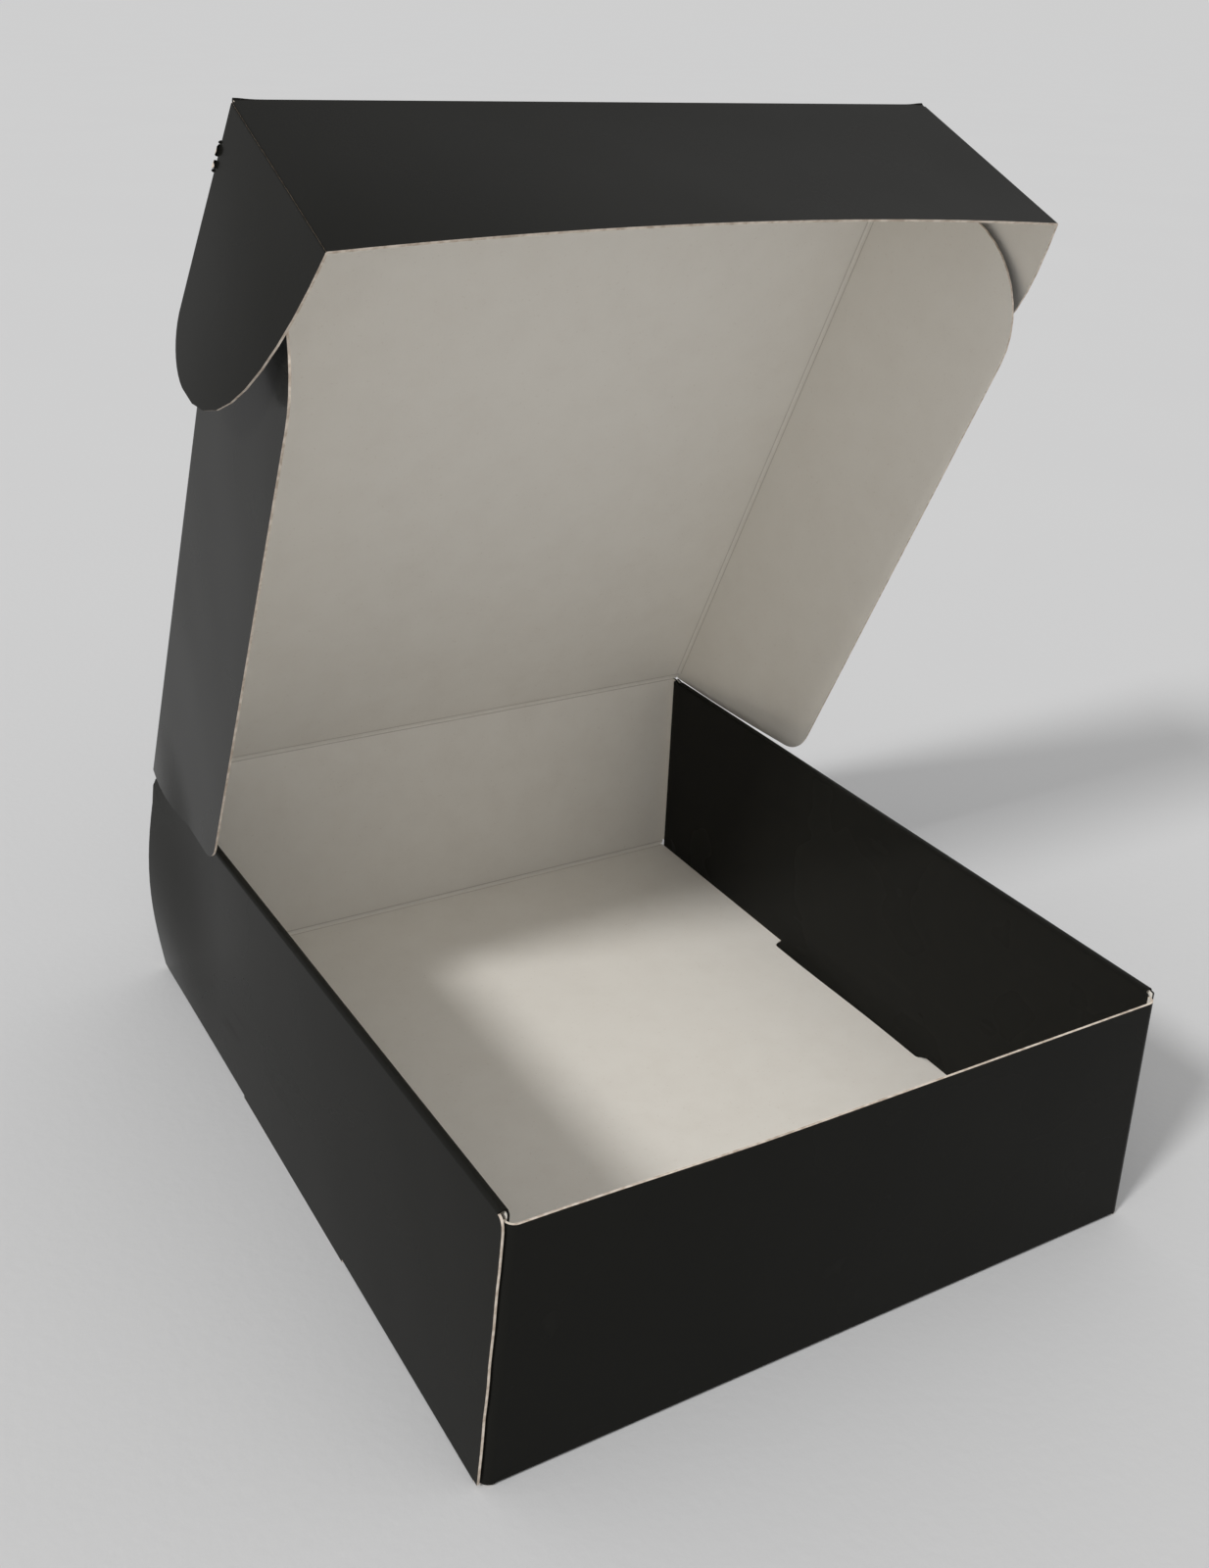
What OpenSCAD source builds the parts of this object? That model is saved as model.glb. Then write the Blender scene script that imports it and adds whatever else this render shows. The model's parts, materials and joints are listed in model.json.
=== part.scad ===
// Roll-end mailer box folded from one sheet of solid board.
// Origin at the middle of the floor's underside, front wall towards -Y, +Z up.
// The sheet is cut into nodes only at the creases that work as hinges.

/* [Board] */
// Thickness of the board
board_t = 0.8; // [0.6:0.1:1.2]
// Inside radius of a pressed fold
fold_r = 0.5; // [0.3:0.1:0.8]
// Inside radius of the loose bends at the two front corners
corner_r = 2.6; // [1:0.2:4]
// Play between two layers of board that lie together
layer_play = 0.4; // [0.2:0.1:0.8]

/* [Tray] */
// Width over the side walls
tray_w = 250; // [180:1:360]
// Depth over the front and back walls
tray_d = 299; // [220:1:400]
// Height of the rolled side walls
side_h = 89; // [60:1:140]
// How far the front wall stops below the side walls
front_drop = 3; // [1.5:0.5:10]
// Distance of the side walls' raw ends from the front and back faces
side_set = 1.2; // [0.6:0.2:3]
// Radius of the side walls' upper corners
side_r = 4; // [1:0.5:10]

/* [Inner walls] */
// Length of the locking tab at the foot of each inner wall
lock_len = 95; // [40:1:140]
// How far the slot reaches into the floor past the inner wall
slot_lip = 2; // [1:0.25:4]
// Play at each end of a locking tab in its slot
lock_play = 1; // [0.4:0.1:2]
// Gap between the inner walls' ends and the front and back walls
inner_set = 3.2; // [3:0.2:8]
// Gap under the inner walls
foot_play = 0.1; // [0.05:0.05:0.5]

/* [Corner tabs] */
// Length of the corner tabs held between the two layers of a side wall
tab_len = 62; // [30:1:90]
// How much lower a corner tab is at its free end
tab_slope = 7; // [2:0.5:15]
// Height of the corner tabs' lower edge above the table
tab_foot = 3; // [2:0.5:8]

/* [Lid] */
// Angle of the lid from closed, in degrees
lid_open = 64; // [40:1:120]
// Gap between the closed lid and the walls that it covers
lid_play = 0.4; // [0.3:0.1:1]
// Distance of each panel's round edge from the lid's hinge axis
hinge_set = 0.75; // [0.7:0.05:1]
// Gap left in the creases of the front flap and its ears
crease_gap = 0.5; // [0.4:0.1:0.8]

/* [Lid wings] */
// Depth of the wings folded down from the lid's sides
wing_depth = 80; // [50:1:100]
// Slant of a wing's rear edge, in degrees
wing_slant = 27; // [15:1:35]
// Distance from the lid's hinge axis to where the wings' creases start
wing_lead = 3; // [2:0.5:8]
// Radius of the rounded tip at a wing's rear
wing_tip_r = 15; // [5:1:20]
// Radius of the large curve at a wing's front
wing_nose_r = 36; // [15:1:45]
// Distance between the wings and the lid's front crease
wing_short = 19; // [10:1:40]
// How far the left wing springs open past square, in degrees
wing_splay_left = 3; // [0:0.5:6]
// How far the right wing springs open past square, in degrees
wing_splay_right = 6.5; // [0:0.5:8]

/* [Front flap] */
// Depth of the front flap
flap_depth = 79; // [50:1:84]
// How far the front flap springs open past square, in degrees
flap_splay = 2; // [0:0.5:6]

/* [Ears] */
// Length of an ear from its crease
ear_len = 82; // [50:1:100]
// Radius of an ear's tip
ear_tip_r = 18; // [8:1:24]
// How much narrower an ear is on the lid's side at its tip
ear_taper = 6; // [2:0.5:12]
// How far an ear springs open beyond the wing that lies inside it, in degrees
ear_spring = 1.5; // [1.5:0.5:5]

/* [Hidden] */
$fn = 48;
laminate = [0.09, 0.08, 0.085];

// Fold radii on the outside of the board, and the straight end of each fold
fold_out = fold_r + board_t;
fold_end = board_t / 4;
corner_out = corner_r + board_t;
// A rolled side wall holds an outer layer, a corner tab and an inner layer
roll_w = 3 * board_t + 2 * layer_play;
roll_r = min(fold_r, (roll_w - 2 * board_t) / 2);
roll_out = roll_r + board_t;
side_x = tray_w / 2;
end_y = tray_d / 2;
inner_x = side_x - roll_w;
tab_x = side_x - board_t - layer_play;
front_h = side_h - front_drop;
tab_top = min(front_h, side_h - board_t - layer_play);
// The base creases stop short of the corners so that the walls can turn
relief = fold_out + board_t;
slot_y = lock_len / 2 + lock_play;
// Side walls, seen along x: the outer panel is longer than the inner one
outer_len = end_y - side_set;
inner_len = end_y - inner_set;
fold_front = board_t - inner_len;
fold_rear = inner_len - side_r;
roll_top = side_h - roll_out;
// Hinge axis of the lid, in the middle of the board
hinge_y = end_y - board_t / 2;
hinge_z = side_h + lid_play + board_t / 2;
back_top = hinge_z - hinge_set;
// The lid reaches past the front wall, which its flap hangs in front of
lid_len = end_y + lid_play + hinge_y;
wing_x = side_x + lid_play;
ear_x = wing_x + board_t + lid_play;
back_x = tab_x - fold_out;
// A wing's front end, and the centre of its curved nose seen from the lid's front corner
wing_end = lid_len - wing_short;
wing_deep = wing_depth - fold_out;
nose_x = wing_short + wing_nose_r;
nose_y = wing_deep - wing_nose_r;
// Steepest line from that corner to the nose, which an ear has to pass outside
nose_angle = atan(nose_y / nose_x) + asin(wing_nose_r / norm([nose_x, nose_y]));
function ear_splay(wing_splay) = ear_spring + asin(sin(wing_splay) * tan(nose_angle));
// Leads of the curve under an ear, as shares of its length and its depth
ear_long_share = 0.46;
ear_deep_share = 0.91;
ear_tip_share = 0.73;
// Steps in the arcs of the cut outlines
arc_steps = 10;

// Points along an arc about centre c, from angle a to angle b
function arc(c, r, a, b, steps = arc_steps) =
    [for (i = [0 : steps]) c + r * [cos(a + (b - a) * i / steps), sin(a + (b - a) * i / steps)]];

// Points along a cubic curve from p to s, led by q and r
function curve(p, q, r, s, steps = arc_steps) =
    [for (i = [0 : steps]) let (k = i / steps, m = 1 - k)
        m * m * m * p + 3 * m * m * k * q + 3 * m * k * k * r + k * k * k * s];

module both_sides() {
    children();
    mirror([1, 0, 0]) children();
}

module both_ends() {
    children();
    mirror([0, 1, 0]) children();
}

// Section of a fold about its own centre: a quarter turn from the angle turn, with a short
// straight end that lies in each of the panels it joins
module fold_2d(r, turn) {
    rotate(turn) {
        intersection() {
            difference() {
                circle(r + board_t);
                circle(r);
            }
            square(r + 2 * board_t);
        }
        translate([r, -fold_end]) square([board_t, fold_end]);
        translate([-fold_end, r]) square([fold_end, board_t]);
    }
}

// Section drawn in x and z, drawn out along y from one place to another
module along_y(from, to) {
    translate([0, to, 0]) rotate([90, 0, 0]) linear_extrude(to - from) children();
}

// Section drawn in y and z, drawn out along x from one place to another
module along_x(from, to) {
    translate([from, 0, 0]) rotate([90, 0, 90]) linear_extrude(to - from) children();
}

// Floor, cut at the corners and where the inner walls lock into it
module floor_panel() {
    flat_x = side_x - fold_out;
    flat_y = end_y - fold_out;
    slot_x = inner_x - slot_lip;
    linear_extrude(board_t) difference() {
        union() {
            square([2 * flat_x, 2 * (flat_y - relief)], center = true);
            square([2 * (flat_x - relief), 2 * flat_y], center = true);
        }
        both_sides() polygon(concat(
            arc([slot_x + slot_lip, slot_y - slot_lip], slot_lip, 90, 180),
            arc([slot_x + slot_lip, slot_lip - slot_y], slot_lip, 180, 270),
            [[side_x, -slot_y], [side_x, slot_y]]));
    }
}

// Upright panel of a side wall, whose upper corners start where the folds end
module side_outline(foot, half_len) {
    front_r = half_len + fold_front;
    rear_r = half_len - fold_rear;
    polygon(concat(
        [[-half_len, foot], [half_len, foot]],
        arc([fold_rear, roll_top - rear_r], rear_r, 0, 90),
        arc([fold_front, roll_top - front_r], front_r, 90, 180)));
}

// Locking tab that goes down through the floor
module lock_outline() {
    bevel = board_t;
    polygon([[bevel - lock_len / 2, 0], [lock_len / 2 - bevel, 0], [lock_len / 2, bevel],
        [lock_len / 2, 3 * board_t], [-lock_len / 2, 3 * board_t], [-lock_len / 2, bevel]]);
}

// Side wall rolled over: outer panel, narrow top, inner panel and its locking tab
module side_roll() {
    // outer panel, with a cut foot beside the slot and a folded one beyond it
    along_x(side_x - board_t, side_x) {
        side_outline(fold_out, outer_len);
        translate([-slot_y, 0]) square([2 * slot_y, 2 * fold_out]);
    }
    both_ends() along_y(slot_y, end_y - fold_out - relief)
        translate([side_x - fold_out, fold_out]) fold_2d(fold_r, 270);
    // narrow top between its two folds
    along_y(fold_front, fold_rear) {
        translate([side_x - roll_out, roll_top]) fold_2d(roll_r, 0);
        translate([inner_x + roll_out, roll_top]) fold_2d(roll_r, 90);
        translate([inner_x + roll_out, side_h - board_t]) square([roll_w - 2 * roll_out, board_t]);
    }
    along_x(inner_x, inner_x + board_t) {
        side_outline(board_t + foot_play, inner_len);
        lock_outline();
    }
}

// Wall at the rear, with a corner tab turned forwards from each of its ends
module end_wall(top, bend_r) {
    bend_out = bend_r + board_t;
    flat_x = tab_x - bend_out;
    crease_x = min(flat_x, side_x - fold_out - relief);
    translate([-flat_x, end_y - board_t, fold_out]) cube([2 * flat_x, board_t, top - fold_out]);
    along_x(-crease_x, crease_x) translate([end_y - fold_out, fold_out]) fold_2d(fold_r, 270);
    both_sides() {
        translate([flat_x, end_y - bend_out, tab_foot]) linear_extrude(tab_top - tab_foot) fold_2d(bend_r, 0);
        along_x(tab_x - board_t, tab_x) polygon([
            [end_y - bend_out, tab_foot],
            [end_y - bend_out, tab_top],
            [end_y - bend_out - fold_end, tab_top],
            [end_y - tab_len, tab_top - tab_slope],
            [end_y - tab_len, tab_foot + tab_slope],
            [end_y - bend_out - fold_end, tab_foot]]);
    }
}

// Round edge along x, where two panels turn about a hinge axis
module hinge_edge(half_len) {
    rotate([0, 90, 0]) cylinder(h = 2 * half_len, d = board_t, center = true);
}

module tray() {
    color(laminate) {
        floor_panel();
        both_sides() side_roll();
        end_wall(back_top, fold_r);
        translate([0, hinge_y, back_top]) hinge_edge(back_x);
        mirror([0, 1, 0]) end_wall(front_h, corner_r);
    }
}

// The lid is drawn closed, from its hinge axis towards -Y, and then opened
module lid_place() {
    translate([0, hinge_y, hinge_z]) rotate([-lid_open, 0, 0]) children();
}

// The front flap is drawn flat in line with the lid, and then folded
module flap_place() {
    lid_place() translate([0, -lid_len, -board_t / 2]) rotate([90 - flap_splay, 0, 0]) children();
}

// An ear is drawn flat in line with the front flap's right end, and then folded
module ear_place(splay) {
    translate([ear_x, 0, 0]) rotate([0, 90 - splay, 0]) children();
}

// Side outline of a wing, from the end of its fold: slanted rear, round tip, curved nose
module wing_outline() {
    tip_z = wing_deep - wing_tip_r;
    tip_y = wing_lead + (wing_tip_r + (tip_z - fold_end) * sin(wing_slant)) / cos(wing_slant);
    polygon(concat(
        [[-wing_end, 0], [-wing_lead, 0], [-wing_lead, -fold_end]],
        arc([-tip_y, -tip_z], wing_tip_r, -wing_slant, -90),
        arc([wing_nose_r - wing_end, -nose_y], wing_nose_r, 270, 180)));
}

// Wing folded down from the lid's right side and turned out by its splay, cut where it meets the lid
module wing(splay) {
    translate([wing_x - fold_r, 0, -board_t / 2 - fold_r]) intersection() {
        rotate([0, -splay, 0]) {
            along_y(-wing_end, -wing_lead) fold_2d(fold_r, 0);
            along_x(fold_r, fold_out) wing_outline();
        }
        translate([0, -lid_len, -wing_depth]) cube([wing_depth, lid_len, wing_depth + 2 * fold_out]);
    }
}

// Top panel, narrow at the hinge and wide where the ears pass outside the wings
module lid_panel() {
    flat_x = wing_x - fold_r;
    wide_x = ear_x - crease_gap / 2;
    front = lid_len - crease_gap / 2;
    right = [
        [back_x, -hinge_set],
        [flat_x, -wing_lead + board_t],
        [flat_x, -wing_end - board_t],
        [wide_x, -wing_end - board_t - fold_out],
        [wide_x, -front]];
    left = [for (i = [len(right) - 1 : -1 : 0]) [-right[i][0], right[i][1]]];
    linear_extrude(board_t, center = true) polygon(concat(right, left));
    translate([0, -hinge_set, 0]) hinge_edge(back_x);
}

module lid() {
    color(laminate) lid_place() {
        lid_panel();
        wing(wing_splay_right);
        mirror([1, 0, 0]) wing(wing_splay_left);
    }
}

module front_flap() {
    half_len = ear_x - crease_gap / 2;
    color(laminate) flap_place() translate([-half_len, -flap_depth, 0])
        cube([2 * half_len, flap_depth - crease_gap / 2, board_t]);
}

// Outline of an ear: long tapered upper side, round tip, then one full curve to the flap's free edge
module ear_outline() {
    start = crease_gap / 2;
    tip = [ear_len - ear_tip_r, -ear_taper - ear_tip_r];
    polygon(concat(
        [[start, -fold_out]],
        arc(tip, ear_tip_r, 90, 0),
        curve([ear_len, tip[1]], [ear_len, -ear_tip_share * flap_depth],
            [ear_long_share * ear_len, -ear_deep_share * flap_depth], [start, -flap_depth])));
}

module ear_right() {
    color(laminate) flap_place() ear_place(ear_splay(wing_splay_right)) linear_extrude(board_t) ear_outline();
}

module ear_left() {
    color(laminate) flap_place() mirror([1, 0, 0]) ear_place(ear_splay(wing_splay_left)) linear_extrude(board_t) ear_outline();
}

tray();
lid();
front_flap();
ear_left();
ear_right();
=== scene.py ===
import json
import math

import bpy
import numpy as np
from mathutils import Matrix, Vector
from mathutils.bvhtree import BVHTree


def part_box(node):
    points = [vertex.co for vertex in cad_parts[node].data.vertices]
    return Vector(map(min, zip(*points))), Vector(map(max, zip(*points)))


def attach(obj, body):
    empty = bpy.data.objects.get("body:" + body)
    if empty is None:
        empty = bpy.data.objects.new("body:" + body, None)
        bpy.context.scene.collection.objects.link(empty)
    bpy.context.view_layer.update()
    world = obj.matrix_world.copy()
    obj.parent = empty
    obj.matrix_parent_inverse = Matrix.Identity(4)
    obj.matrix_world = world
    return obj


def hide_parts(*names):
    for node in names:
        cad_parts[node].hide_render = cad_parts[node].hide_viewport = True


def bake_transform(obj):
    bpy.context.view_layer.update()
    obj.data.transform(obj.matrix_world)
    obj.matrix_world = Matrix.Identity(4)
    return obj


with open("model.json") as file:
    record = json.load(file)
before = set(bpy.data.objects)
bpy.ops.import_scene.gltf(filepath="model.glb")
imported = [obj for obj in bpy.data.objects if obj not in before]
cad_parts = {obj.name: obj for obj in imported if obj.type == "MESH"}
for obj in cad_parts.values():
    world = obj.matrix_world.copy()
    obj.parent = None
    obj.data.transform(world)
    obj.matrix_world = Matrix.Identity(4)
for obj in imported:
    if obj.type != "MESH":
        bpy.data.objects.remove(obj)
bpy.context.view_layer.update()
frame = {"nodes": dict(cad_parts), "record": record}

# Where the box stands: a plain pale floor that runs into an even pale surround, and a soft key light
# from the left. The camera looks down over the front left corner from about half a metre away.
camera_at = (-0.28384, -0.45917, 0.39021)
look_right = Vector((0.86677, -0.49714, 0.03951))
look_down = Vector((-0.14155, -0.32121, -0.93637))
look_forward = Vector((0.4782, 0.80603, -0.34878))
bpy.ops.object.camera_add(location=camera_at)
camera = bpy.context.object
camera.rotation_euler = Matrix((look_right, -look_down, -look_forward)).transposed().to_euler()
camera.data.lens = 38.16
camera.data.shift_x = 0.0078
camera.data.shift_y = -0.1069
bpy.context.scene.camera = camera

key_from = Vector((-1.14, -0.40, 1.0))
key_width = math.radians(9)
key_power = 1.7
bpy.ops.object.light_add(type="SUN", location=key_from)
key = bpy.context.object
key.rotation_euler = (-key_from).to_track_quat("-Z", "Y").to_euler()
key.data.angle = key_width
key.data.energy = key_power

surround_level = 0.62
white = (1.0, 1.0, 1.0, 1)
surround = bpy.data.worlds.new("surround")
bpy.context.scene.world = surround
surround.use_nodes = True
surround.node_tree.nodes["Background"].inputs["Color"].default_value = white
surround.node_tree.nodes["Background"].inputs["Strength"].default_value = surround_level
bpy.context.scene.view_settings.view_transform = "Standard"


class Shade:
    """A socket in a material, with arithmetic on it written as plain expressions."""

    def __init__(self, nodes, socket=None):
        self.nodes = nodes
        self.socket = socket

    def node(self, kind, settings=(), inputs=(), out=0):
        made = self.nodes.nodes.new("ShaderNode" + kind)
        for name, value in dict(settings).items():
            setattr(made, name, value)
        for name, value in dict(inputs).items():
            if isinstance(value, Shade):
                self.nodes.links.new(value.socket, made.inputs[name])
            else:
                made.inputs[name].default_value = value
        return Shade(self.nodes, made.outputs[out])

    def math(self, operation, a, b=0.0):
        return self.node("Math", {"operation": operation}, {0: a, 1: b})

    def __add__(self, other):
        return self.math("ADD", self, other)

    __radd__ = __add__

    def __sub__(self, other):
        return self.math("SUBTRACT", self, other)

    def __rsub__(self, other):
        return self.math("SUBTRACT", other, self)

    def __mul__(self, other):
        return self.math("MULTIPLY", self, other)

    __rmul__ = __mul__

    def __abs__(self):
        return self.math("ABSOLUTE", self)

    def over(self, low, high):
        """0 below low, 1 above high and a smooth step between."""
        return self.node("MapRange", {"interpolation_type": "SMOOTHSTEP"},
                         {"Value": self, "From Min": low, "From Max": high})

    def near(self, at, reach):
        """1 at a value, and 0 further than reach from it."""
        return 1.0 - abs(self - at).over(0, reach)


def linear(*colour):
    """A colour picked on a screen, 0 to 255, as light."""
    return tuple(((c / 255 + 0.055) / 1.055) ** 2.4 if c > 10 else c / 255 / 12.92 for c in colour)


def finish(name, roughness, specular=0.5, coat=0.0, coat_roughness=0.1):
    """A new material and the place on the box of each point of it."""
    material = bpy.data.materials.new(name)
    material.use_nodes = True
    surface = material.node_tree.nodes["Principled BSDF"]
    surface.inputs["Roughness"].default_value = roughness
    surface.inputs["Specular IOR Level"].default_value = specular
    surface.inputs["Coat Weight"].default_value = coat
    surface.inputs["Coat Roughness"].default_value = coat_roughness
    return material, Shade(material.node_tree).node("TexCoord", out="Object")


def grain(place, scale, detail=2.0, stretch=None, roughness=0.5):
    """Noise of that many grains a metre, 0 to 1."""
    if stretch:
        place = place.node("Mapping", {}, {"Vector": place, "Scale": stretch})
    inputs = {"Vector": place, "Scale": scale, "Detail": detail, "Roughness": roughness}
    return place.node("TexNoise", {}, inputs)


def tint(mask, low, high):
    """A colour between low and high."""
    low = low if isinstance(low, Shade) else (*low, 1)
    return mask.node("Mix", {"data_type": "RGBA"}, {0: mask, 6: low, 7: (*high, 1)}, out=2)


def bump(height, depth, under=None):
    """A relief of that depth in metres, on top of another one if there is one."""
    inputs = {"Height": height, "Distance": depth}
    if under:
        inputs["Normal"] = under
    return height.node("Bump", {}, inputs)


def feed(value, socket):
    """Joins a value to a socket of its material's surface."""
    value.nodes.links.new(value.socket, value.nodes.nodes["Principled BSDF"].inputs[socket])


ground_dark = (0.635, 0.635, 0.638)
ground_light = (0.650, 0.650, 0.650)
ground_relief = 0.0001
ground_size = 60
just_below = -0.0001
ground, place = finish("ground", 0.95, specular=0.0)
feed(tint(grain(place, 3, 3), ground_dark, ground_light), "Base Color")
feed(bump(grain(place, 260, 3), ground_relief), "Normal")
bpy.ops.mesh.primitive_plane_add(size=ground_size, location=(0, 0, just_below))
floor = bpy.context.object
floor.name = "floor"
floor.data.materials.append(ground)

# Tray: floor, back and front walls and two rolled side walls, folded from the sheet and locked with
# no glue. Solid board, black gloss film outside and bare white fibre inside, with pale cut edges.
board = 0.0008
film_dark = (0.0085, 0.0085, 0.0072)
film_light = (0.0155, 0.0150, 0.0130)
film_waves = 0.0006
film_grain = 0.000012
film, place = finish("black_film", 0.3, specular=0.02, coat=0.1, coat_roughness=0.1)
clouds = grain(place, 14, 3)
scuffs = grain(place, 70, 4, stretch=(1, 0.12, 1)).over(0.63, 0.8) * grain(place, 23).over(0.45, 0.7)
feed(tint(clouds * 0.5 + scuffs * 0.6, film_dark, film_light), "Base Color")
feed(clouds * 0.1 + scuffs * 0.22 + 0.22, "Roughness")
feed(bump(grain(place, 1100, 3), film_grain, bump(grain(place, 16, 1), film_waves)), "Normal")

fibre_light = linear(238, 234, 226)
fibre_dull = linear(222, 215, 205)
# Painted shade: a darker fibre colour for the lines beside the folds, standing in for the shadow of the
# crease beads.
fibre_painted_crease_shade = linear(150, 140, 130)
fibre_grain = 0.00003
press_depth = -0.0001
press_half = 0.0004


def bare_fibre(name, pressed_and_shaded_lines):
    """White fibre, with the lines beside the folds: a pressed relief, and painted shade that darkens the
    fibre along them.
    """
    material, place = finish(name, 0.85, specular=0.3)
    formation = grain(place, 60, 4, roughness=0.6)
    flecks = grain(place, 900).over(0.64, 0.76) * 0.3
    pressed_and_shaded = pressed_and_shaded_lines(place)
    mottle = (formation * 0.5 + grain(place, 6) * 0.35 + flecks).over(0.2, 1.15)
    plain = tint(mottle, fibre_light, fibre_dull)
    # Painted shade: the fibre is darkened along the lines beside the folds. The bump below is their real
    # pressed relief.
    feed(tint(pressed_and_shaded * 0.45, plain, fibre_painted_crease_shade), "Base Color")
    feed(formation * 0.12 + 0.78, "Roughness")
    feed(bump(grain(place, 1700, 3), fibre_grain, bump(pressed_and_shaded, press_depth)), "Normal")
    return material


def parts(place):
    """The three coordinates of a place."""
    return [place.node("SeparateXYZ", {}, {0: place}, out=axis) for axis in range(3)]


floor_line = 0.1474
wall_line = 0.0023
top_line = 0.0886


def tray_pressed_and_shaded_lines(place):
    """Lines on the floor and on the front and back walls beside their fold, and below the lid's crease,
    where the fibre gets a pressed relief and painted shade.
    """
    _, y, z = parts(place)
    on_wall = (0.1478, 0.1482)
    on_floor = (0.0022, 0.0018)
    beside_walls = abs(y).near(floor_line, press_half) * z.over(*on_floor)
    above_floor = z.near(wall_line, press_half) * abs(y).over(*on_wall)
    below_lid = z.near(top_line, press_half) * y.over(*on_wall)
    return beside_walls + above_floor + below_lid


tray_fibre = bare_fibre("white_fibre_tray", tray_pressed_and_shaded_lines)

cut_light = linear(226, 214, 200)
cut_dark = linear(184, 168, 152)
cut_grain = 0.00008
cut, place = finish("cut_edge", 0.92, specular=0.2)
feed(tint(grain(place, 420, 3).over(0.3, 0.75), cut_light, cut_dark), "Base Color")
feed(bump(grain(place, 1500), cut_grain), "Normal")

same_place = 2e-6
same_plane = math.radians(0.5)


def copied_sheet(node, name, steps):
    """A copy of a solid of the frame, joined up and cut across every steps metres, so that it can bend."""
    bpy.ops.object.select_all(action="DESELECT")
    source = frame["nodes"][node]
    sheet = bpy.data.objects.new(name, source.data.copy())
    bpy.context.collection.objects.link(sheet)
    sheet.data.transform(source.matrix_world)
    sheet.select_set(True)
    bpy.context.view_layer.objects.active = sheet
    low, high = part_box(node)
    bpy.ops.object.mode_set(mode="EDIT")
    bpy.ops.mesh.select_all(action="SELECT")
    bpy.ops.mesh.remove_doubles(threshold=same_place)
    bpy.ops.mesh.dissolve_limited(angle_limit=same_plane)
    for axis, step in enumerate(steps):
        if not step:
            continue
        count = round((high[axis] - low[axis]) / step)
        for i in range(1, count):
            at, turn = [0, 0, 0], [0, 0, 0]
            at[axis] = low[axis] + (high[axis] - low[axis]) * i / count
            turn[axis] = 1
            bpy.ops.mesh.select_all(action="SELECT")
            bpy.ops.mesh.bisect(plane_co=at, plane_no=turn)
    bpy.ops.object.mode_set(mode="OBJECT")
    return sheet


just_inside = 1e-5


def dress(sheet, fibre, is_film, is_covered=lambda centre: False):
    """Film, fibre or cut edge for each face: a face with the board's other face right behind it isn't
    cut. The film is drawn over the covered edges."""
    mesh = sheet.data
    mesh.materials.clear()
    for material in (film, fibre, cut):
        mesh.materials.append(material)
    tree = BVHTree.FromPolygons([v.co for v in mesh.vertices], [p.vertices for p in mesh.polygons])
    for face in mesh.polygons:
        start = face.center - face.normal * just_inside
        hit, normal, _, depth = tree.ray_cast(start, -face.normal, 1.3 * board)
        if hit is None or abs(depth - board) > 0.1 * board or normal.dot(face.normal) > -0.8:
            face.material_index = 0 if is_covered(face.center) else 2
        else:
            face.material_index = 0 if is_film(face.center, face.normal) else 1


def move(sheet, shift):
    """Moves each point by what shift gives for it."""
    co = np.empty(len(sheet.data.vertices) * 3)
    sheet.data.vertices.foreach_get("co", co)
    co = co.reshape(-1, 3)
    sheet.data.vertices.foreach_set("co", (co + shift(co)).ravel())
    sheet.data.update()


def smooth(sheet, angle=35):
    """Smooth shading up to an angle in degrees."""
    bpy.ops.object.select_all(action="DESELECT")
    sheet.select_set(True)
    bpy.context.view_layer.objects.active = sheet
    bpy.ops.object.shade_smooth_by_angle(angle=math.radians(angle))


def smooth_sheet(sheet):
    """Smooth shading that turns on the narrow folds and leaves the panels beside them flat."""
    smooth(sheet)
    sheet.modifiers.new("panels", "WEIGHTED_NORMAL").keep_sharp = True
    bpy.ops.object.modifier_apply(modifier="panels")


def between(value, low, high):
    return (value > low) & (value < high)


def ease(value, low, high):
    """0 below low, 1 above high and a smooth step between, for arrays."""
    t = np.clip((value - low) / (high - low), 0, 1)
    return t * t * (3 - 2 * t)


side_x = 0.125
side_h = 0.089
end_y = 0.1495
outer_face = 0.1240
roll_x = 0.1234
roll_top = side_h - 0.0013
inner_end = 0.1464
inner_skin = 0.1216
inner_back = 0.1226
tab_skin = (0.1229, 0.1239)
drawn_over = 0.0842


def tray_film(centre, normal):
    """The film is outside, goes over the rolled walls' tops and ends inside the tray."""
    side = math.copysign(1, centre.x)
    out = abs(centre.x)
    inner_layer = inner_skin < out <= tab_skin[0] and abs(centre.y) < inner_end
    if out > tab_skin[1] or inner_layer:
        middle = Vector((side * roll_x, centre.y, min(max(centre.z, 0.002), roll_top)))
    else:
        middle = Vector((0, 0, side_h / 2))
    return (centre - middle).dot(normal) > 0


def rolled_end(centre):
    """The ends of the rolled tops, where the film is drawn down over the board."""
    return abs(centre.x) > inner_skin and centre.z > drawn_over and centre.x > -outer_face


lean_in = 0.0075
lean_back = 0.0022
bulge_out = 0.0050
bulge_from = 0.075
ragged = 0.0004


def wall_bulge(y, z):
    """How far the left wall's outer layer stands out towards its loose rear end."""
    return bulge_out * ease(y, bulge_from, end_y) ** 1.5 * np.sin(np.pi * np.clip(z / side_h, 0, 1))


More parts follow.
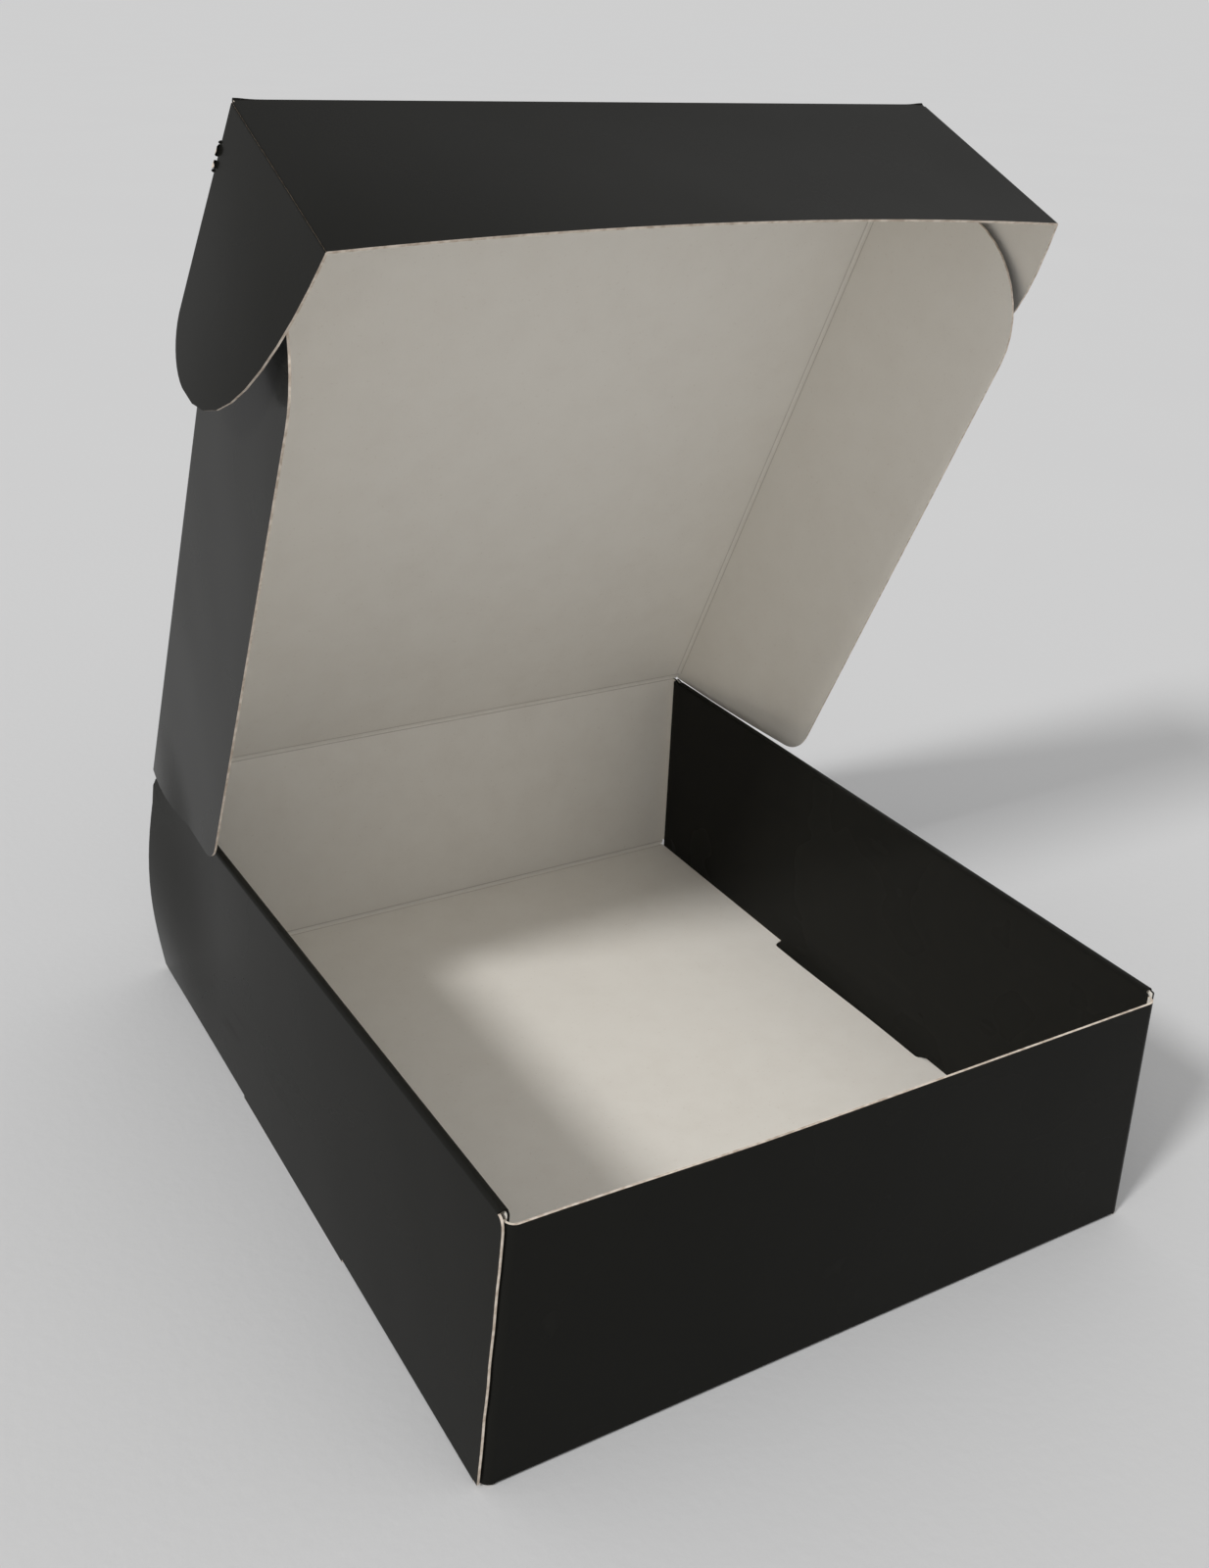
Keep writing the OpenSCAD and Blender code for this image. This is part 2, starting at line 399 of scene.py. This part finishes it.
def spring(co):
    """The left wall leans in at the front and bulges at the rear, and its front end is cut unevenly."""
    x, y, z = co.T
    up = z / side_h
    left = ease(-x, 0.02, side_x)
    outer = x < -outer_face
    front = ease(-y, 0.06, end_y)
    front_end = ease(-y, 0.138, 0.148) * ease(up, 0.02, 0.3)
    uneven = np.sin(z * 310) * 0.6 + np.sin(z * 730 + 1.3) * 0.4
    shift = np.zeros_like(co)
    shift[:, 0] = lean_in * up * left * (end_y - y) / (2 * end_y)
    shift[:, 0] -= np.where(outer, wall_bulge(y, z), 0)
    shift[:, 1] = lean_back * up * left * front
    shift[:, 1] += np.where(outer, ragged * uneven * front_end, 0)
    return shift


corner_y = 0.1423
inner_corner_z, inner_corner_r = 0.0837, 0.0040
outer_corner_z, outer_corner_r = 0.0817, 0.0060
inner_square = 0.0030
outer_square = {"left": 0.0036, "right": 0.0046}
corner_rise = 0.0011


def towards_square(y, z, corner_z, corner_r):
    """Which points lie in a round rear corner, how near each is to its edge, and its share of the way to
    a square corner along y and along z."""
    tiny = 1e-6
    within = (y > corner_y + tiny) & (z > corner_z - tiny)
    far = np.maximum(np.hypot(y - corner_y, z - corner_z), tiny)
    near_edge = np.where(within, ease(far, 0.0005, corner_r), 0)
    back = near_edge * (1 - (y - corner_y) / far)
    up = near_edge * (1 - (z - corner_z) / far)
    return within, near_edge, back, up


def rear_corners(co):
    """The side walls' rear corners are less round than they are cut and rise to the lid's crease."""
    x, y, z = co.T
    shift = np.zeros_like(co)
    inner = between(abs(x), inner_skin, inner_back) & (y < inner_end)
    _, near_edge, back, up = towards_square(y, z, inner_corner_z, inner_corner_r)
    rise = corner_rise * near_edge * ease(y, corner_y, corner_y + 0.0006)
    shift[:, 1] += np.where(inner, inner_square * back, 0)
    shift[:, 2] += np.where(inner, inner_square * up + rise, 0)
    outer = abs(x) > outer_face
    square = np.where(x > 0, outer_square["right"], outer_square["left"])
    within, _, back, up = towards_square(y, z, outer_corner_z, outer_corner_r)
    rise = np.where(within, corner_rise * ease(z, 0.084, 0.087), 0)
    shift[:, 1] += np.where(outer, square * back, 0)
    shift[:, 2] += np.where(outer, square * up + rise, 0)
    return shift


tab_up = 0.0028
rear_root_x = 0.1224
rear_root_y = 0.1465
tab_down = 0.0024
front_root_x = 0.1203
front_root_y = 0.1455
above_floor = 0.0029
right_stop = 0.1467
under_roll = 0.0862


def tab_ends(co):
    """The corner tabs' roots fill the corners, and the right outer layer stops short of the front wall's
    round corner, which hides its cut end."""
    x, y, z = co.T
    shift = np.zeros_like(co)
    rear_root = between(abs(x), rear_root_x, tab_skin[1]) & (y > rear_root_y)
    raised = tab_up * ease(z, 0.078, 0.086) * (1 - ease(z, under_roll, side_h))
    shift[:, 2] += np.where(rear_root, raised, 0)
    front_root = between(abs(x), front_root_x, tab_skin[1]) & (y < -front_root_y) & (z > above_floor)
    lowered = tab_down * (1 - ease(z, 0.003, 0.016))
    shift[:, 2] -= np.where(front_root, lowered, 0)
    right_end = (x > outer_face) | (x > inner_skin) & (z > under_roll)
    shift[:, 1] += np.where(right_end, np.clip(-right_stop - y, 0, None), 0)
    return shift


slot_half = 0.0485
slot_outside = 0.1217
slot_drawn = 0.0008
slot_drawn_rear = 0.0016
foot_half = 0.0476
foot_in = 0.0017
floor_top = 0.0009


def lock_slots(co):
    """The floor's edge draws back from each locking tab, further at the rear, and the tab's foot leans in
    to meet it, so that film closes the slot."""
    x, y, z = co.T
    shift = np.zeros_like(co)
    drawn = (slot_drawn + slot_drawn_rear * ease(y, -0.03, 0.04)) * ease(slot_half - abs(y), 0, 0.0025)
    slot_edge = between(abs(x), 0.1190, slot_outside) & (z < floor_top) & (abs(y) < slot_half - 0.0001)
    tab_foot = between(abs(x), slot_outside, 0.1227) & (z < floor_top - 0.00005) & (abs(y) < foot_half)
    shift[:, 0] -= np.where(slot_edge, np.sign(x) * drawn, 0)
    shift[:, 0] -= np.where(tab_foot, np.sign(x) * (foot_in + drawn), 0)
    return shift


def tray_shift(co):
    """All that the tray's board does beyond the straight folds of the solid."""
    return spring(co) + rear_corners(co) + tab_ends(co) + lock_slots(co)


tray = copied_sheet("tray", "tray_sheet", steps=(0.0185, 0.0150, 0.0060))
dress(tray, tray_fibre, tray_film, rolled_end)
move(tray, tray_shift)
smooth_sheet(tray)
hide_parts("tray")
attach(tray, "tray")

# Lid: the top panel with a wing folded down from each side. The wings spring a few degrees open and
# hang outside the tray's walls. Film outside, bare fibre inside, and a slight crown in the panel.
turns = {joint["name"]: Vector(joint["pos_m"]) for joint in frame["record"]["behaviour"]["joints"]}
hinge_at = turns["lid_hinge"]
lid_open = math.radians(64)
along_lid = Vector((0, -math.cos(lid_open), math.sin(lid_open)))
into_lid = Vector((0, -math.sin(lid_open), -math.cos(lid_open)))
inside_lid = hinge_at + 0.15 * along_lid + 0.06 * into_lid
lid_crown = 0.0016
lid_long = 0.299
lid_half = 0.1255
lid_line = 0.1241
wing_line = 0.0017
hinge_line = 0.0014


def measured(co, start, direction):
    """How far each point is from start along a direction."""
    return (co - np.array(start)) @ np.array(direction)


def distance(place, start, direction):
    """How far a material's place is from start along a direction."""
    along = place.node("VectorMath", {"operation": "DOT_PRODUCT"}, {0: place, 1: direction}, out="Value")
    return along - start.dot(direction)


def lid_pressed_and_shaded_lines(place):
    """Lines on the panel and the wings beside their folds, and on the panel beside the lid's crease, where
    the fibre gets a pressed relief and painted shade.
    """
    x = parts(place)[0]
    deep = distance(place, hinge_at, into_lid)
    along = distance(place, hinge_at, along_lid)
    in_run = along.over(0.002, 0.004) * along.over(0.282, 0.279)
    beside_wings = abs(x).near(lid_line, press_half) * deep.over(0.0008, 0.0006)
    on_wings = deep.near(wing_line, press_half)
    at_hinge = along.near(hinge_line, press_half) * deep.over(0.0012, 0.0010)
    return (beside_wings + on_wings) * in_run + at_hinge


lid_fibre = bare_fibre("white_fibre_lid", lid_pressed_and_shaded_lines)


def lid_film(centre, normal):
    """The film is on the outside of the lid and of what hangs from it."""
    return (centre - inside_lid).dot(normal) > 0


lid_play = 0.0004
left_splay = math.tan(math.radians(3))
wing_slant = math.tan(math.radians(27))
wing_lead = 0.0030
wing_deep = 0.07
wing_x = 0.1251
wing_fold = (0.1228, 0.1248)
wing_root = 0.0009
reach_fades = 0.03


def wing_reach(x, down):
    """How far the wings' rear edges reach towards the hinge: the right one comes close to it and the
    left one stands off a little. down is 0 at the panel and 1 near the wing's free edge."""
    right = 0.0037 + 0.0070 * down + 0.0008 * np.sin(np.pi * down)
    left = -0.0006 - 0.0014 * down
    return np.where(x > 0, right, left)


def lid_shift(co):
    """The panel is crowned, the left wing follows the tray's bulge and the wings' rear edges move."""
    x = co[:, 0]
    along = measured(co, hinge_at, along_lid)
    deep = measured(co, hinge_at, into_lid)
    hanging = np.clip(deep, 0, None)
    across = np.clip(1 - (x / lid_half) ** 2, 0, 1)
    crown = lid_crown * np.sin(np.pi * np.clip(along / lid_long, 0, 1)) * across
    room = lid_play + hanging * left_splay
    bulge = np.clip(wall_bulge(hinge_at.y - along, hinge_at.z - deep) + lid_play - room, 0, None)
    bulge = np.where((x < -wing_x) & (deep > wing_root), bulge, 0)
    rear = wing_lead + hanging * wing_slant
    reach = wing_reach(x, hanging / wing_deep)
    reach *= (1 - ease(along - rear, 0.0, reach_fades)) * ease(abs(x), *wing_fold)
    return -np.outer(crown, into_lid) - np.outer(bulge, (1, 0, 0)) - np.outer(reach, along_lid)


lid = copied_sheet("lid", "lid_sheet", steps=(0.0185, 0.0095, 0.0095))
dress(lid, lid_fibre, lid_film)
move(lid, lid_shift)
smooth_sheet(lid)
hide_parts("lid")
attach(lid, "lid")

# Lid crease: the strip of board between the back wall and the lid, pressed thinner so that it bends
# there and nowhere else.
crease_board = 0.00076
lap = 0.00015
bends = 8


def strip(name, places, length, half_long, rows, lump, rim):
    """A strip of board through a row of places, each with the way that it swells at the strip's ends."""
    lump_reach = 0.004
    bpy.ops.object.select_all(action="DESELECT")
    bpy.ops.mesh.primitive_grid_add(x_subdivisions=len(places) - 1, y_subdivisions=rows, size=2)
    made = bpy.context.object
    made.name = name
    for vertex in made.data.vertices:
        point, swell = places[round((vertex.co.x + 1) / 2 * (len(places) - 1))]
        from_end = (1 - abs(vertex.co.y)) * half_long
        swelling = lump * math.exp(-(from_end / lump_reach) ** 2)
        vertex.co = point + vertex.co.y * half_long * length + swelling * swell
    for material in (film, lid_fibre, cut):
        made.data.materials.append(material)
    thick = made.modifiers.new("board", "SOLIDIFY")
    thick.thickness = crease_board
    thick.offset = 0
    thick.material_offset = 1
    thick.material_offset_rim = rim
    bpy.ops.object.modifier_apply(modifier="board")
    smooth(made, 60)
    return made


def crease(name, bodies, at, along, outward, turn, skin, gap, half_long, rows,
           lump=0.0, rim=0, halves=False):
    """A strip that bends from one panel to the next. along runs towards the fold on the first panel and
    outward away from its inside, and skin is how far the board's middle lies outside the axis. In
    halves, each panel keeps its own half of a round fold, so that nothing has to stretch."""
    def across(angle):
        return math.cos(angle) * outward + math.sin(angle) * along

    def onward(angle):
        return math.cos(angle) * along - math.sin(angle) * outward

    straight = 0.0 if skin else gap
    radius = skin + straight / math.tan(turn / 2)
    centre = at - straight * along + (skin - radius) * outward
    still = outward * 0.0
    places = [(at - (gap + lap) * along + skin * outward, still)]
    for i in range(bends + 1):
        angle = turn * i / bends
        places.append((centre + radius * across(angle), math.sin(math.pi * i / bends) * across(angle)))
    places.append((at + (gap + lap) * onward(turn) + skin * across(turn), still))
    length = outward.cross(along)
    if halves:
        middle = bends // 2 + 1
        near = strip(name + "_near", places[:middle + 1], length, half_long, rows, lump, rim)
        far = strip(name + "_far", places[middle:], length, half_long, rows, lump, rim)
        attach(near, bodies[0])
        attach(far, bodies[1])
    else:
        whole = strip(name, places, length, half_long, rows, lump, rim)
        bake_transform(whole)


upwards = Vector((0, 0, 1))
backwards = Vector((0, 1, 0))
crease("lid_crease", ("tray", "lid"), hinge_at, along=upwards, outward=backwards,
       turn=math.radians(90) - lid_open, skin=0.0, gap=0.00075, half_long=0.1238, rows=40, rim=2)

# Front flap: folded down at the lid's front edge, a little short of square. Its free edge bows outwards
# between the two ears, which hold its ends.
flap_at = turns["flap_hinge"]
flap_fold = math.radians(88)
along_flap = math.cos(flap_fold) * along_lid + math.sin(flap_fold) * into_lid
out_of_flap = math.sin(flap_fold) * along_lid - math.cos(flap_fold) * into_lid
flap_deep = 0.079
flap_bow = 0.0045
flap_half = 0.12635


def down_flap(co):
    """How far down the flap each point is, 0 at its fold and 1 at its free edge."""
    return np.clip(measured(co, flap_at, along_flap) / flap_deep, 0, 1)


def flap_shift(co):
    """The flap's free edge bows out between its ends."""
    across = np.clip(1 - (co[:, 0] / flap_half) ** 2, 0, 1)
    return np.outer(flap_bow * down_flap(co) ** 1.6 * across, out_of_flap)


flap = copied_sheet("front_flap", "flap_sheet", steps=(0.0125, 0.0095, 0))
dress(flap, lid_fibre, lid_film)
move(flap, flap_shift)
smooth_sheet(flap)
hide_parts("front_flap")
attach(flap, "front_flap")

flap_gap = 0.00025
fold_middle = 0.00042
crease("flap_crease", ("lid", "front_flap"), flap_at, along=along_lid, outward=-into_lid,
       turn=flap_fold, skin=fold_middle, gap=flap_gap, half_long=flap_half, rows=160, lump=0.0005)

# Ears: one at each end of the front flap, folded back beside the wings, with a long straight upper
# side, a round tip and one full curve down to the flap's free edge. Each is slightly crowned.
ear_crown = 0.0012
ear_long = 0.082
ear_top = 0.0013
ear_half = (flap_deep - ear_top) / 2


def add_ear(side, body, fold):
    """An ear and its crease. Gives the ear's root on its axis, the way along it and the way out of it."""
    ear_at = turns[body + "_hinge"]
    outside = Vector((side, 0, 0))
    out_of_ear = math.sin(fold) * outside + math.cos(fold) * out_of_flap
    along_ear = math.cos(fold) * outside - math.sin(fold) * out_of_flap

    def ear_shift(co):
        """The ear is crowned from its free edge to its upper edge, and flat at its crease."""
        along = np.clip(measured(co, ear_at, along_ear) / ear_long, 0, 1)
        return np.outer(ear_crown * np.sin(np.pi * down_flap(co)) * ease(along, 0, 0.5), out_of_ear)

    ear = copied_sheet(body, body + "_sheet", steps=(0, 0.0085, 0.0085))
    dress(ear, lid_fibre, lid_film)
    move(ear, ear_shift)
    smooth_sheet(ear)
    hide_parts(body)
    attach(ear, body)
    middle = ear_at + (ear_top + ear_half) * along_flap
    crease(body + "_crease", ("front_flap", body), middle, along=outside, outward=out_of_flap,
           turn=fold, skin=fold_middle, gap=flap_gap, half_long=ear_half, rows=20, rim=2, halves=True)
    return ear_at, along_ear, out_of_ear


left_at, along_left, out_of_left = add_ear(-1, "ear_left", math.radians(80.68))
add_ear(1, "ear_right", math.radians(71.38))

# Torn film: four small curls of film that stand up from the left ear's upper edge, near its crease.
# They are one piece with the ear's film, black outside and pale inside.
curl_round = 0.0007
curl_skin = 0.00012
edge_slope = 0.0737
curls = ((0.0119, 0.0013, 120), (0.0144, 0.0038, 200), (0.0187, 0.0026, 240), (0.0206, 0.0012, 130))
for along, long, turn in curls:
    bpy.ops.object.select_all(action="DESELECT")
    bpy.ops.mesh.primitive_grid_add(x_subdivisions=10, y_subdivisions=6, size=2)
    curl = bpy.context.object
    curl.name = "torn_film"
    root = left_at + 0.5 * board * out_of_left + along * along_left
    root += (ear_top + edge_slope * along) * along_flap
    for vertex in curl.data.vertices:
        narrowing = 1 - 0.5 * vertex.co.y ** 2
        bend = math.radians(turn) * (vertex.co.x + 1) / 2 * narrowing
        rise = -math.sin(bend) * along_flap + (1 - math.cos(bend)) * out_of_left
        vertex.co = root + vertex.co.y * long / 2 * along_left + curl_round * rise
    for material in (film, cut):
        curl.data.materials.append(material)
    thick = curl.modifiers.new("skin", "SOLIDIFY")
    thick.thickness = curl_skin
    thick.offset = 0
    thick.material_offset = 1
    bpy.ops.object.modifier_apply(modifier="skin")
    smooth(curl, 60)
    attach(curl, "ear_left")
